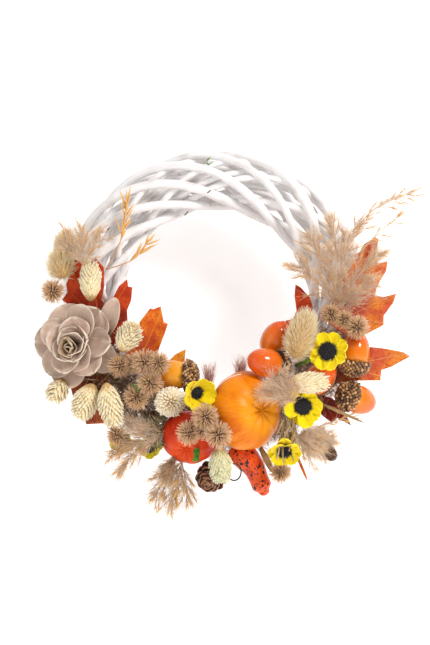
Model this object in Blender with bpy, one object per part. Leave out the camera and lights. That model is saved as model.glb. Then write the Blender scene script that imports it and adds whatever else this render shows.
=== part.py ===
"""A harvest door wreath: a ring of white willow rods with a wire hanger at the back, and a crescent of
pumpkins, acorns, flowers, leaves and dried grasses glued along its lower half.

World frame in metres: +Z up, the front faces -Y, and the origin is the middle of the hanger's hinge.
Sizes below are in millimetres. A decoration's spot is (right, lift, up): right and up are from the centre
of a ring of SPOT_RADIUS, and lift is in front of the ring's rods."""

import math

import bmesh
import bpy
from mathutils import Vector

MM = 0.001
GAP = 0.3

# The willow ring
RING_RADIUS = 120.0
OUTER_WRAP_RADIUS = 25.4
OUTER_ROD_RADII = (4.7, 4.0, 4.4, 3.7, 4.8, 3.9, 4.3)
ROD_SWAY = 0.5
ROD_SWELL = 0.07
OUTER_TURNS = -(2 + 1 / 7)
OUTER_POINTS = 40
OUTER_JOIN_ANGLES = (150, 196, 163, 208, 156, 203, 170)
OUTER_PHASE = 10.0
INNER_ROD_RADII = (3.7, 3.3, 3.5)
LAYER_GAP = 1.1
INNER_TURNS = 2 + 2 / 3
INNER_POINTS = 36
INNER_JOIN_ANGLES = (160, 190, 175)
CORE_RADIUS = 7.0
CORE_POINTS = 28
JOIN_GAP_ANGLE = 1.2

# The wire hanger behind the top of the ring
WIRE_RADIUS = 0.6
HANGER_WIDTH = 24.0
HANGER_CORNER = 1.6
HANGER_CLEARANCE = 0.75
EYE_SLACK = 1.2
TIE_ROD = 3
TIE_ANGLE = 4 * math.tau

# Size of the repeated decorations
ACORN_NUT_RADIUS = 13.6
ACORN_NUT_LENGTH = 31.0
ACORN_FOOT = 0.62
ACORN_CAP_RIM = 1.2
ACORN_CAP_HEIGHT = 12.5
LEAF_THICKNESS = 0.8
LEAF_GAP = 0.5
LEAF_STEP = 1.3
FLOWER_RADIUS = 17.5
FLOWER_DEPTH = 7.0

# The radius of the ring that the decorations' spots are measured on
SPOT_RADIUS = 120.0
THICKEST_OUTER = max(OUTER_ROD_RADII) * (1 + ROD_SWELL)
THICKEST_INNER = max(INNER_ROD_RADII) * (1 + ROD_SWELL)
RING_DEPTH = OUTER_WRAP_RADIUS + ROD_SWAY + THICKEST_OUTER
INNER_WRAP_RADIUS = OUTER_WRAP_RADIUS - THICKEST_OUTER - THICKEST_INNER - LAYER_GAP

COLOURS = {
    "white_willow": ((0.88, 0.86, 0.84, 1), 0.55, 0.0),
    "dark_wire": ((0.05, 0.05, 0.05, 1), 0.35, 1.0),
    "orange_skin": ((0.90, 0.33, 0.03, 1), 0.35, 0.0),
    "red_skin": ((0.60, 0.06, 0.02, 1), 0.35, 0.0),
    "acorn_orange": ((0.80, 0.22, 0.03, 1), 0.15, 0.0),
    "seed_brown": ((0.22, 0.12, 0.06, 1), 0.5, 0.0),
    "cone_brown": ((0.16, 0.07, 0.04, 1), 0.6, 0.0),
    "taupe_petal": ((0.52, 0.44, 0.38, 1), 0.7, 0.0),
    "yellow_petal": ((0.95, 0.75, 0.01, 1), 0.6, 0.0),
    "autumn_leaf": ((0.62, 0.13, 0.03, 1), 0.5, 0.0),
    "cream_head": ((0.80, 0.66, 0.38, 1), 0.8, 0.0),
    "brown_burr": ((0.38, 0.24, 0.13, 1), 0.8, 0.0),
    "tan_plume": ((0.55, 0.38, 0.20, 1), 0.8, 0.0),
}


def clear_scene():
    for obj in list(bpy.data.objects):
        bpy.data.objects.remove(obj, do_unlink=True)


def make_collection(name, hidden):
    collection = bpy.data.collections.new(name)
    collection.hide_render = hidden
    bpy.context.scene.collection.children.link(collection)
    return collection


def make_materials():
    materials = {}
    for name, (colour, roughness, metallic) in COLOURS.items():
        material = bpy.data.materials.new(name)
        material.use_nodes = True
        shader = material.node_tree.nodes["Principled BSDF"]
        shader.inputs["Base Color"].default_value = colour
        shader.inputs["Roughness"].default_value = roughness
        shader.inputs["Metallic"].default_value = metallic
        material.diffuse_color = colour
        materials[name] = material
    return materials


def wound(angle, wrap_radius, phase):
    """A point wound round the ring, from its centre: angle runs clockwise from the top, and phase from
    the front outwards."""
    out = RING_RADIUS + wrap_radius * math.sin(phase)
    return Vector((out * math.sin(angle), -wrap_radius * math.cos(phase), out * math.cos(angle)))


def outer_rod(angle, index):
    wrap_radius = OUTER_WRAP_RADIUS + ROD_SWAY * math.sin(3 * angle + index)
    return wound(angle, wrap_radius, math.radians(OUTER_PHASE) + OUTER_TURNS * angle)


def ring_centre():
    """The ring hangs so that the hanger's bar, just behind the tied rod, is at the origin."""
    back = RING_DEPTH + HANGER_CLEARANCE + WIRE_RADIUS
    return Vector((0, -back, -outer_rod(TIE_ANGLE, TIE_ROD).z))


def spot(right, lift, up):
    """World position of a decoration's middle."""
    spread = RING_RADIUS / SPOT_RADIUS
    return (ring_centre() + Vector((right * spread, -RING_DEPTH - lift, up * spread))) * MM


def piece_spots(stations):
    """The stations of one piece: the first is a spot, and the others keep their distance from it."""
    first = Vector(stations[0])
    offsets = [Vector(station) - first for station in stations]
    return [spot(*first) + Vector((offset.x, -offset.y, offset.z)) * MM for offset in offsets]


def way(right, forward, up):
    return Vector((right, -forward, up)).normalized()


def add_object(name, data, material, collection):
    obj = bpy.data.objects.new(name, data)
    data.materials.append(MATERIALS[material])
    collection.objects.link(obj)
    return obj


def tube(name, points, radii, material, flat=1.0, resolution=1, cyclic=False):
    """A rod, wire or plume: a poly curve through points, its radius in millimetres at each one."""
    curve = bpy.data.curves.new(name, "CURVE")
    curve.dimensions = "3D"
    curve.bevel_depth = MM
    curve.bevel_resolution = resolution
    curve.use_fill_caps = not cyclic
    curve.twist_mode = "MINIMUM"
    spline = curve.splines.new("POLY")
    spline.points.add(len(points) - 1)
    spline.use_cyclic_u = cyclic
    for knot, point, radius in zip(spline.points, points, radii):
        knot.co = (point.x, point.y / flat, point.z, 1)
        knot.radius = radius
    obj = add_object(name, curve, material, PARTS)
    obj.scale.y = flat
    return obj


def rounded(name, centre, axis, shape, material, around=10, along=7):
    """A sphere reshaped by shape(height, ring, angle), which gives a radius and a height in millimetres.
    height runs from -1 at the foot to 1 at the tip, ring from 0 to 1, and the tip points along axis."""
    body = bmesh.new()
    bmesh.ops.create_uvsphere(body, u_segments=around, v_segments=along, radius=1)
    for vertex in body.verts:
        angle = math.atan2(vertex.co.y, vertex.co.x)
        ring = min(1.0, math.hypot(vertex.co.x, vertex.co.y))
        radius, height = shape(vertex.co.z, ring, angle)
        vertex.co = Vector((radius * math.cos(angle), radius * math.sin(angle), height)) * MM
    bmesh.ops.recalc_face_normals(body, faces=body.faces)
    mesh = bpy.data.meshes.new(name)
    body.to_mesh(mesh)
    body.free()
    obj = add_object(name, mesh, material, PARTS)
    obj.rotation_mode = "QUATERNION"
    obj.rotation_quaternion = axis.to_track_quat("Z", "Y")
    obj.location = centre
    return obj


def egg(radius, half_length, taper=0.0, foot=1.0):
    """An egg, its foot cut flat where foot is under 1."""
    def shape(height, ring, angle):
        return radius * ring * (1 - taper * height), half_length * max(height, -foot)
    return shape


def ribbed(radius, half_height, ribs, depth, dimple):
    def shape(height, ring, angle):
        sunk = 1 - dimple * (1 - ring) ** 2
        return radius * ring * (1 + depth * math.cos(ribs * angle)), half_height * height * sunk
    return shape


def scalloped(radius, half_height, lobes, depth):
    """A lens with a scalloped edge, for a whorl of petals."""
    def shape(height, ring, angle):
        return radius * ring * (1 + depth * ring * math.cos(lobes * angle)), half_height * height
    return shape


def wound_rods(prefix, radii, points, joins, route):
    """The rods of one layer, each along route(angle, index) for about a turn of the ring. Each ends
    where the next begins, hidden behind the decorations."""
    count = len(radii)
    for index, radius in enumerate(radii):
        start = joins[index] + 360 * index
        end = joins[(index + 1) % count] + 360 * (index + 1) - JOIN_GAP_ANGLE
        line = []
        sizes = []
        for step in range(points + 1):
            angle = math.radians(start + (end - start) * step / points)
            line.append((ring_centre() + route(angle, index)) * MM)
            sizes.append(radius * (1 + ROD_SWELL * math.sin(2 * angle + 2 * index)))
        tube(f"{prefix}_{index + 1}", line, sizes, "white_willow")


def inner_rod(angle, index):
    wrap_radius = INNER_WRAP_RADIUS + ROD_SWAY * math.sin(3 * angle + index)
    return wound(angle, wrap_radius, INNER_TURNS * angle)


def willow_ring():
    wound_rods("willow_rod", OUTER_ROD_RADII, OUTER_POINTS, OUTER_JOIN_ANGLES, outer_rod)
    wound_rods("inner_rod", INNER_ROD_RADII, INNER_POINTS, INNER_JOIN_ANGLES, inner_rod)
    angles = [math.tau * step / CORE_POINTS for step in range(CORE_POINTS)]
    line = [(ring_centre() + wound(angle, 0, 0)) * MM for angle in angles]
    tube("core_hoop", line, [CORE_RADIUS] * CORE_POINTS, "white_willow", cyclic=True)


def wire_hanger():
    """A tie round a rear rod, with an eye behind it, and a D loop whose straight bar hangs in the eye."""
    before, here, after = (outer_rod(TIE_ANGLE + turn, TIE_ROD) for turn in (-0.02, 0, 0.02))
    along = (after - before).normalized()
    back = (Vector((0, 1, 0)) - along * along.y).normalized()
    side = along.cross(back)
    rod = ring_centre() + here
    rod_bend = OUTER_ROD_RADII[TIE_ROD] * (1 + ROD_SWELL) + WIRE_RADIUS + GAP
    eye_bend = 2 * WIRE_RADIUS + EYE_SLACK
    eye = rod + back * (2 * WIRE_RADIUS + GAP - rod.y - eye_bend)
    line = []
    for step in range(9):
        turn = math.radians(-105 + 210 * step / 8)
        line.append((rod + (side * math.sin(turn) - back * math.cos(turn)) * rod_bend) * MM)
    for step in range(7):
        turn = math.radians(75 - 150 * step / 6)
        line.append((eye + (side * math.sin(turn) + back * math.cos(turn)) * eye_bend) * MM)
    tube("hanger_tie", line, [WIRE_RADIUS] * len(line), "dark_wire", cyclic=True)

    half = HANGER_WIDTH / 2
    outline = [(HANGER_CORNER - half, 0), (0, 0), (half - HANGER_CORNER, 0), (half - 0.4, -0.5)]
    for step in range(11):
        turn = math.pi * step / 10
        outline.append((half * math.cos(turn), -HANGER_CORNER - half * math.sin(turn)))
    outline.append((0.4 - half, -0.5))
    line = [Vector((right, 0, up)) * MM for right, up in outline]
    tube("hanger_loop", line, [WIRE_RADIUS] * len(line), "dark_wire", cyclic=True)


def pumpkins():
    rounded("pumpkin_orange", spot(29, 34, -102), way(18, 20, 1), ribbed(37, 27, 10, 0.03, 0.35),
            "orange_skin", around=20, along=9)
    rounded("pumpkin_red", spot(-24, 23, -128), way(-2, 10, -9), ribbed(26, 23, 8, 0.03, 0.35),
            "red_skin", around=16, along=8)
    line = piece_spots(((16, 13, -138), (23, 13, -143), (30, 12, -149), (36, 11, -156),
                        (39.5, 10, -163), (42, 10, -169), (44.5, 10, -175), (46.5, 10, -180)))
    tube("gourd_speckled", line, [8, 12.5, 12.5, 11, 9.8, 9.3, 9.5, 5.5], "red_skin", resolution=2)


def pine_cone():
    rounded("pine_cone", spot(-4, 15, -166), way(-3, 9, -5), egg(16, 16, 0.1), "cone_brown",
            around=12, along=8)


def acorn(index, nut, tip, capped=True):
    """A glossy nut whose tip points along tip, in a cap crusted with seeds."""
    centre = spot(*nut)
    axis = way(*tip)
    half = ACORN_NUT_LENGTH / (1 + ACORN_FOOT)
    nut_shape = egg(ACORN_NUT_RADIUS, half, 0.06, ACORN_FOOT)
    rounded(f"acorn_nut_{index}", centre, axis, nut_shape, "acorn_orange")
    if not capped:
        return
    face = centre - axis * (half * ACORN_FOOT + GAP) * MM
    cap_shape = egg(ACORN_NUT_RADIUS + ACORN_CAP_RIM, ACORN_CAP_HEIGHT, 0.0, 0.0)
    rounded(f"acorn_cap_{index}", face, -axis, cap_shape, "seed_brown", around=12, along=8)


def acorns():
    acorn(1, (57, 19, -36), (10, 6, 22), capped=False)
    acorn(2, (47, 44, -57), (-20, 12, 5))
    acorn(3, (133, 17, -46), (2, -3, 20))
    acorn(4, (137, 12, -93), (20, -16, -8))
    acorn(5, (99, 21, -72), (16, 8, 18), capped=False)
    acorn(6, (-40, 17, -69), (-20, -4, 1))


def rose():
    """Petals cut from cones, wired in two whorls round a bud."""
    facing = way(-2, 20, -1)
    rounded("rose_outer_petals", spot(-131, 11, -39), facing, scalloped(38, 6, 9, 0.07), "taupe_petal",
            around=27, along=5)
    rounded("rose_inner_petals", spot(-133, 23.5, -41), facing, scalloped(26, 6, 6, 0.07), "taupe_petal",
            around=18, along=5)
    rounded("rose_bud", spot(-136, 35, -43), facing, egg(10, 5.2), "taupe_petal")


def flower(index, centre, facing):
    rounded(f"flower_{index}", spot(*centre), way(*facing),
            scalloped(FLOWER_RADIUS, FLOWER_DEPTH / 2, 8, 0.05), "yellow_petal", around=16, along=4)


def flowers():
    flower(1, (105, 53, -47), (4, 20, 2))
    flower(2, (83, 42, -99), (2, 20, -4))
    flower(3, (64, 45, -137), (2, 16, -12))
    flower(4, (-17, 51, -87), (-3, 20, 4))


def leaf(name, centre, lobes, layer, lobe_angle=21):
    """A moulded fabric maple leaf. Each lobe is (direction in degrees from the right, length), and a
    leaf in layer 1 lies on the leaves in layer 0."""
    outline = []
    for index, (direction, length) in enumerate(lobes):
        later, later_length = lobes[(index + 1) % len(lobes)]
        for turn, reach in ((-1, 0.56), (-0.5, 0.62), (0, 1.0), (0.5, 0.62), (1, 0.56)):
            outline.append((direction + turn * lobe_angle, length * reach))
        between = (direction + later + (360 if later < direction else 0)) / 2
        outline.append((between, 0.3 * min(length, later_length)))
    curve = bpy.data.curves.new(name, "CURVE")
    curve.dimensions = "2D"
    curve.fill_mode = "BOTH"
    curve.extrude = LEAF_THICKNESS / 2 * MM
    spline = curve.splines.new("POLY")
    spline.points.add(len(outline) - 1)
    spline.use_cyclic_u = True
    for knot, (direction, reach) in zip(spline.points, outline):
        turn = math.radians(direction)
        knot.co = (reach * math.cos(turn) * MM, reach * math.sin(turn) * MM, 0, 1)
    obj = add_object(name, curve, "autumn_leaf", PARTS)
    obj.rotation_euler = (math.radians(90), 0, 0)
    right, up = centre
    obj.location = spot(right, LEAF_GAP + LEAF_THICKNESS / 2 + LEAF_STEP * layer, up)


def leaves():
    leaf("leaf_left_top", (-110, -22), ((-40, 30), (56, 52), (106, 60), (134, 47), (220, 34)), 0, 13)
    leaf("leaf_left_inner", (-70, -48), ((-60, 24), (10, 26), (66, 47), (150, 24), (220, 24)), 0)
    leaf("leaf_left_small", (-48, -64), ((-60, 16), (43, 27), (130, 17), (200, 16)), 1)
    leaf("leaf_right_inner", (81, -30), ((-100, 18), (-20, 16), (40, 22), (97, 46), (148, 24)), 0)
    leaf("leaf_right_top", (129, -13), ((-20, 35), (24, 49), (50, 62), (73, 80), (130, 26), (220, 22)), 0, 11)
    leaf("leaf_right_low", (129, -66), ((-60, 20), (-17, 36), (14, 57), (60, 22), (180, 22)), 1, 15)
    leaf("leaf_right_dark", (105, -99), ((-100, 20), (-52, 26), (-8, 24), (60, 16), (170, 18)), 0)


def head(index, centre, tip, radius, half_length, taper=0.15):
    rounded(f"cream_head_{index}", spot(*centre), way(*tip), egg(radius, half_length, taper),
            "cream_head", around=10, along=7)


def cream_heads():
    """Dried canary grass and bunny tail heads, and one straw pompon."""
    head(1, (-118, 17, 18), (0, 4, 20), 10, 19)
    head(2, (-144, 3, 41), (-2, 2, 20), 12, 18)
    head(3, (-82, 29, -35), (9, 8, 16), 11, 15)
    head(4, (-122, 19, -93), (-6, 3, -16), 12.5, 17.5)
    head(5, (-98, 33, -96), (4, 3, -20), 11, 22)
    head(6, (-42, 35, -94), (-1, 20, -1), 13, 12, 0.0)
    head(7, (5, 49, -150), (1, 3, -18), 10.5, 16.5)
    head(8, (80, 49, -33), (6, 1, 20), 12, 24)
    head(9, (84, 55, -75), (20, 5, 1), 10.5, 19)


def sprig(name, burrs):
    """Spiny burrs grown together on one stem, each given as (right, lift, up, radius)."""
    stem = None
    centres = piece_spots([burr[:3] for burr in burrs])
    for index, (centre, burr) in enumerate(zip(centres, burrs)):
        radius = burr[3]
        ball = rounded(f"{name}_{index}", centre, way(0, 1, 0), egg(radius, radius), "brown_burr",
                       around=8, along=6)
        if stem is None:
            stem = ball
            stem.name = name
            continue
        PARTS.objects.unlink(ball)
        CUTTERS.objects.link(ball)
        ball.hide_render = True
        ball.display_type = "WIRE"
        union = stem.modifiers.new(f"join_{index}", "BOOLEAN")
        union.operation = "UNION"
        union.solver = "EXACT"
        union.object = ball


def burr_sprigs():
    sprig("burrs_left", ((-90, 23, -60, 11), (-76, 25, -58, 10), (-66, 34, -57, 12), (-53, 36, -58, 11),
                         (-61, 36, -76, 12), (-74, 29, -90, 12)))
    sprig("burrs_middle", ((-24, 59, -121, 11), (-12, 61, -119, 8), (-9, 66, -106, 12), (3, 70, -122, 12)))
    sprig("burrs_right", ((109, 25, -12, 10), (121, 30, -17, 9), (133, 36, -24, 11)))


def plume(name, stations, flat=0.5):
    """A feathery grass head, given as stations of (right, lift, up, half width)."""
    line = piece_spots([station[:3] for station in stations])
    widths = [station[3] for station in stations]
    tube(name, line, widths, "tan_plume", flat, resolution=2)


def plumes():
    plume("plume_right", ((119, 15, 0, 7), (120, 18, 18, 16), (122, 19, 38, 18), (126, 19, 56, 15),
                          (134, 18, 72, 10), (149, 17, 86, 7), (169, 16, 97, 5), (189, 15, 105, 1.5)))
    plume("plume_left_top", ((-123, 27, 34, 4), (-124, 26, 46, 12), (-125, 24, 60, 15), (-126, 21, 74, 10),
                             (-127, 19, 80, 4)))
    plume("plume_left_low", ((-56, 29, -126, 4), (-66, 26, -124, 9), (-78, 21, -122, 11), (-90, 16, -122, 6),
                             (-96, 13, -121, 2)))
    plume("plume_bottom", ((-30, 31, -151, 4), (-35, 26, -164, 13), (-42, 19, -182, 19), (-50, 13, -200, 15),
                           (-56, 9, -214, 4)))
    plume("plume_centre", ((76, 61, -92, 4), (64, 64, -85, 9), (52, 66, -76, 10), (43, 66, -66, 4)))
    plume("plume_right_low", ((76, 33, -131, 3), (88, 31, -130, 10), (104, 26, -128, 13), (120, 19, -125, 7),
                              (136, 13, -121, 1.5)))
    plume("golden_sprig", ((-104, 5, 32, 1), (-94, 6, 50, 1.2), (-85, 7, 68, 5), (-83, 7, 86, 6),
                           (-83, 7, 104, 1)))


clear_scene()
PARTS = make_collection("harvest_wreath", hidden=False)
CUTTERS = make_collection("cutters", hidden=True)
MATERIALS = make_materials()
willow_ring()
wire_hanger()
pumpkins()
pine_cone()
acorns()
rose()
flowers()
leaves()
cream_heads()
burr_sprigs()
plumes()
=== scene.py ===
"""The looks of a harvest door wreath: white willow ring, pumpkins, acorns, wooden rose, flowers, leaves and
dried grasses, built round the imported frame.

Local shapes are in millimetres. A decoration's place is (right, lift, up): right and up from the middle of
the ring, and lift in front of the ring's rods."""

import math
import random

import bmesh
import bpy
from mathutils import Matrix, Vector


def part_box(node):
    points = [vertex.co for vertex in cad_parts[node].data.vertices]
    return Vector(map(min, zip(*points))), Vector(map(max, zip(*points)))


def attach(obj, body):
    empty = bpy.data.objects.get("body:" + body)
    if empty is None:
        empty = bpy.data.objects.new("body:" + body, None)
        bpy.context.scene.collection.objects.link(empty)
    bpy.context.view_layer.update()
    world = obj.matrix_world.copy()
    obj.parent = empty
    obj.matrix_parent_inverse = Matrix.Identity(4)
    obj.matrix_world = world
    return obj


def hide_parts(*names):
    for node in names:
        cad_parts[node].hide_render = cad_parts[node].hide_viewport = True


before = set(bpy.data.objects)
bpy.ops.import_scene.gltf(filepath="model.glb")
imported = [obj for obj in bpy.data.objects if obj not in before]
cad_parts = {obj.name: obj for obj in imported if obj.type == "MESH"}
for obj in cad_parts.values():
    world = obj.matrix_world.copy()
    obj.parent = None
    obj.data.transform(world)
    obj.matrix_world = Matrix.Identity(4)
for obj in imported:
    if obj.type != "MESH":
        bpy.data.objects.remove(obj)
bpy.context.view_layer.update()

MM = 0.001
GOLDEN_ANGLE = math.pi * (3 - math.sqrt(5))

# The camera, in metres from the middle of the ring
CAMERA_DISTANCE = 1.49
CAMERA_DROP = 0.0196
WALL_BEHIND = 0.05

# The willow ring, as the CAD winds it
RING_RADIUS = 120.0
OUTER_WRAP_RADIUS = 25.4
OUTER_ROD_RADII = (4.7, 4.0, 4.4, 3.7, 4.8, 3.9, 4.3)
OUTER_TURNS = -(2 + 1 / 7)
OUTER_JOIN_ANGLES = (150, 196, 163, 208, 156, 203, 170)
OUTER_PHASE = math.radians(10)
INNER_ROD_RADII = (3.7, 3.3, 3.5)
INNER_TURNS = 2 + 2 / 3
INNER_JOIN_ANGLES = (160, 190, 175)
ROD_SWAY = 0.5
ROD_SWELL = 0.07
LAYER_GAP = 1.1
THICKEST_OUTER = max(OUTER_ROD_RADII) * (1 + ROD_SWELL)
THICKEST_INNER = max(INNER_ROD_RADII) * (1 + ROD_SWELL)
INNER_WRAP_RADIUS = OUTER_WRAP_RADIUS - THICKEST_OUTER - THICKEST_INNER - LAYER_GAP
RING_DEPTH = OUTER_WRAP_RADIUS + ROD_SWAY + THICKEST_OUTER
ROD_POINTS = 260

# Thin rods that fill the gaps between the main ones
FILL_ROD_RADII = (3.4, 2.9, 3.6, 2.6, 3.1)
FILL_TURNS = 2 + 3 / 5
FILL_WRAP_RADIUS = 20.4
FILL_JOIN_ANGLES = (168, 190, 158, 200, 176)

# The bundle of rods that the ring is wound on
CORE_RODS = 5
CORE_ROD_RADIUS = 3.1
CORE_WRAP_RADIUS = 4.8
CORE_TURNS = 4
CORE_POINTS = 180

# Acorns
NUT_RADIUS = 13.6
NUT_LENGTH = 31.0
NUT_FOOT = 0.62
CAP_RADIUS = 14.2
CAP_HEIGHT = 11.9
SEED_RADIUS = 1.55
SEEDS_ROUND = 152

# Leaves
LEAF_THICKNESS = 0.5
LONGEST_LEAF_EDGE = 3.4

# Dried things
TAIL_HAIR_LENGTH = 9.0
BURR_SPINE_RADIUS = 0.52
BURR_SPINES = 250
POMPON_STRAWS = 220
MOSS_HAIRS = 3600


def middle(node_name):
    lowest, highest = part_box(node_name)
    return (lowest + highest) / 2


RING_CENTRE = middle("core_hoop")
RING_CENTRE.x = 0


def place(right, lift, up):
    return RING_CENTRE + Vector((right, -RING_DEPTH - lift, up)) * MM


def way(right, forward, up):
    return Vector((right, -forward, up)).normalized()


def seat(centre, axis, turn=0.0):
    """Places a shape made in millimetres: its +Z goes along axis and its +Y upwards."""
    stand = axis.to_track_quat("Z", "Y").to_matrix().to_4x4()
    return Matrix.Translation(centre) @ stand @ Matrix.Rotation(turn, 4, "Z") @ Matrix.Scale(MM, 4)


def sphere_way(index, count):
    """Evenly spread directions on a sphere."""
    height = 1 - 2 * (index + 0.5) / count
    ring = math.sqrt(1 - height * height)
    turn = GOLDEN_ANGLE * index
    return Vector((ring * math.cos(turn), ring * math.sin(turn), height))


# ---- camera, light and stage ----

def add_camera():
    data = bpy.data.cameras.new("camera")
    data.lens = 85
    data.sensor_width = 36
    camera = bpy.data.objects.new("camera", data)
    camera.location = RING_CENTRE + Vector((0, -CAMERA_DISTANCE, -CAMERA_DROP))
    camera.rotation_euler = (math.radians(90), 0, 0)
    bpy.context.scene.collection.objects.link(camera)
    bpy.context.scene.camera = camera


def add_area_light(name, location, size, power, colour=(1, 1, 1)):
    data = bpy.data.lights.new(name, "AREA")
    data.shape = "DISK"
    data.size = size
    data.energy = power
    data.color = colour
    light = bpy.data.objects.new(name, data)
    light.location = location
    light.rotation_euler = (RING_CENTRE - Vector(location)).to_track_quat("-Z", "Y").to_euler()
    bpy.context.scene.collection.objects.link(light)


def add_stage():
    world = bpy.data.worlds.new("studio_air")
    world.use_nodes = True
    world.node_tree.nodes["Background"].inputs["Color"].default_value = (1.0, 0.99, 0.985, 1)
    world.node_tree.nodes["Background"].inputs["Strength"].default_value = 0.48
    bpy.context.scene.world = world
    add_area_light("key_light", (0.9, -1.15, 0.7), 0.45, 17)
    add_area_light("fill_light", (-1.2, -1.3, 0.1), 1.2, 3)
    add_area_light("rim_light", (0.3, -0.5, 1.2), 0.8, 1.5)

    paper = bpy.data.materials.new("white_paper")
    paper.use_nodes = True
    tree = paper.node_tree
    shader = tree.nodes["Principled BSDF"]
    shader.inputs["Base Color"].default_value = (0.93, 0.925, 0.925, 1)
    shader.inputs["Roughness"].default_value = 0.9
    shader.inputs["Emission Color"].default_value = (1.0, 0.985, 0.975, 1)
    shader.inputs["Emission Strength"].default_value = 0.32
    clear = tree.nodes.new("ShaderNodeBsdfTransparent")
    facing = tree.nodes.new("ShaderNodeNewGeometry")
    chooser = tree.nodes.new("ShaderNodeMixShader")
    tree.links.new(facing.outputs["Backfacing"], chooser.inputs[0])
    tree.links.new(shader.outputs[0], chooser.inputs[1])
    tree.links.new(clear.outputs[0], chooser.inputs[2])
    tree.links.new(chooser.outputs[0], tree.nodes["Material Output"].inputs["Surface"])
    for name, turn, centre in (
        ("wall", Matrix.Rotation(math.radians(90), 4, "X"), Vector((0, WALL_BEHIND, 0.4))),
        ("floor", Matrix.Identity(4), Vector((0, -1.5, -0.7))),
    ):
        body = bmesh.new()
        bmesh.ops.create_grid(body, x_segments=2, y_segments=2, size=2.2)
        bmesh.ops.transform(body, matrix=Matrix.Translation(centre) @ turn, verts=body.verts)
        mesh = bpy.data.meshes.new(name)
        body.to_mesh(mesh)
        body.free()
        obj = bpy.data.objects.new(name, mesh)
        mesh.materials.append(paper)
        bpy.context.scene.collection.objects.link(obj)


# ---- finishes ----

def tint(red, green, blue):
    """A scene colour from everyday 0 to 255 values."""
    steps = [value / 255 for value in (red, green, blue)]
    return tuple(c / 12.92 if c < 0.04 else ((c + 0.055) / 1.055) ** 2.4 for c in steps) + (1,)


def feed(tree, made, takes):
    """Fills a node's sockets: links a socket, and sets a number or an everyday 0 to 255 colour."""
    for label, value in takes.items():
        if isinstance(value, bpy.types.NodeSocket):
            tree.links.new(value, made.inputs[label])
        else:
            made.inputs[label].default_value = tint(*value) if isinstance(value, tuple) else value


def node(tree, kind, takes=None, **settings):
    made = tree.nodes.new("ShaderNode" + kind)
    for label, value in settings.items():
        setattr(made, label, value)
    feed(tree, made, takes or {})
    return made


def mixed(tree, share, first, second):
    """Two colours blended; sockets 6 and 7 are the Mix node's colours."""
    return node(tree, "Mix", {0: share, 6: first, 7: second}, data_type="RGBA").outputs[2]


def sums(tree, operation, first, second=0.0):
    return node(tree, "Math", {0: first, 1: second}, operation=operation).outputs[0]


def tinged(tree, mask, share, first, second):
    """The first colour with up to this share of the second where the mask is."""
    return mixed(tree, sums(tree, "MULTIPLY", mask, share), first, second)


def uv_parts(tree):
    """A piece's own lengthways and crossways places, each from 0 to 1."""
    parts = node(tree, "SeparateXYZ", {0: node(tree, "TexCoord").outputs["UV"]}).outputs
    return parts[0], parts[1]


def stepped(tree, value, low, high, bottom=0.0, top=1.0):
    takes = {"Value": value, "From Min": low, "From Max": high, "To Min": bottom, "To Max": top}
    return node(tree, "MapRange", takes, interpolation_type="SMOOTHSTEP").outputs[0]


def new_group(name, takes, gives):
    tree = bpy.data.node_groups.new(name, "ShaderNodeTree")
    for label, kind, value in takes:
        socket = tree.interface.new_socket(label, in_out="INPUT", socket_type="NodeSocket" + kind)
        socket.default_value = tint(*value) if kind == "Color" else value
    for label, kind in gives:
        tree.interface.new_socket(label, in_out="OUTPUT", socket_type="NodeSocket" + kind)
    inside = tree.nodes.new("NodeGroupInput").outputs
    out = tree.nodes.new("NodeGroupOutput").inputs
    return tree, inside, out


WHITE = (255, 255, 255)


def mottle_group():
    """Cloudy patches of a second colour."""
    takes = (("Base", "Color", WHITE), ("Patch", "Color", WHITE), ("Scale", "Float", 50.0),
             ("Start", "Float", 0.45), ("End", "Float", 0.65))
    tree, inside, out = new_group("mottle", takes, (("Colour", "Color"), ("Mask", "Float")))
    where = node(tree, "TexCoord").outputs["Object"]
    noise = node(tree, "TexNoise", {"Vector": where, "Scale": inside["Scale"], "Detail": 5.0}).outputs[0]
    mask = stepped(tree, noise, inside["Start"], inside["End"])
    tree.links.new(mixed(tree, mask, inside["Base"], inside["Patch"]), out["Colour"])
    tree.links.new(mask, out["Mask"])
    return tree


def length_group():
    """A colour that changes from a piece's root to its tip, a little different from strand to strand."""
    takes = (("Root", "Color", WHITE), ("Middle", "Color", WHITE), ("Tip", "Color", WHITE),
             ("Other", "Color", WHITE), ("Scale", "Float", 260.0), ("Share", "Float", 0.5))
    tree, inside, out = new_group("root_to_tip", takes, (("Colour", "Color"),))
    along = uv_parts(tree)[0]
    lower = mixed(tree, stepped(tree, along, 0.0, 0.45), inside["Root"], inside["Middle"])
    whole = mixed(tree, stepped(tree, along, 0.45, 1.0), lower, inside["Tip"])
    where = node(tree, "TexCoord").outputs["Object"]
    noise = node(tree, "TexNoise", {"Vector": where, "Scale": inside["Scale"], "Detail": 2.0}).outputs[0]
    share = sums(tree, "MULTIPLY", stepped(tree, noise, 0.42, 0.62), inside["Share"])
    tree.links.new(mixed(tree, share, whole, inside["Other"]), out["Colour"])
    return tree


def grain_group():
    """Fine fibres that run along a piece."""
    takes = (("Along", "Float", 3.0), ("Across", "Float", 40.0))
    tree, inside, out = new_group("long_grain", takes, (("Height", "Float"), ("Mask", "Float")))
    where = node(tree, "TexCoord").outputs["UV"]
    size = node(tree, "CombineXYZ", {0: inside["Along"], 1: inside["Across"], 2: 1.0}).outputs[0]
    stretched = node(tree, "VectorMath", {0: where, 1: size}, operation="MULTIPLY").outputs[0]
    noise = node(tree, "TexNoise", {"Vector": stretched, "Scale": 1.0, "Detail": 6.0}).outputs[0]
    tree.links.new(noise, out["Height"])
    tree.links.new(stepped(tree, noise, 0.42, 0.62), out["Mask"])
    return tree


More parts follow.
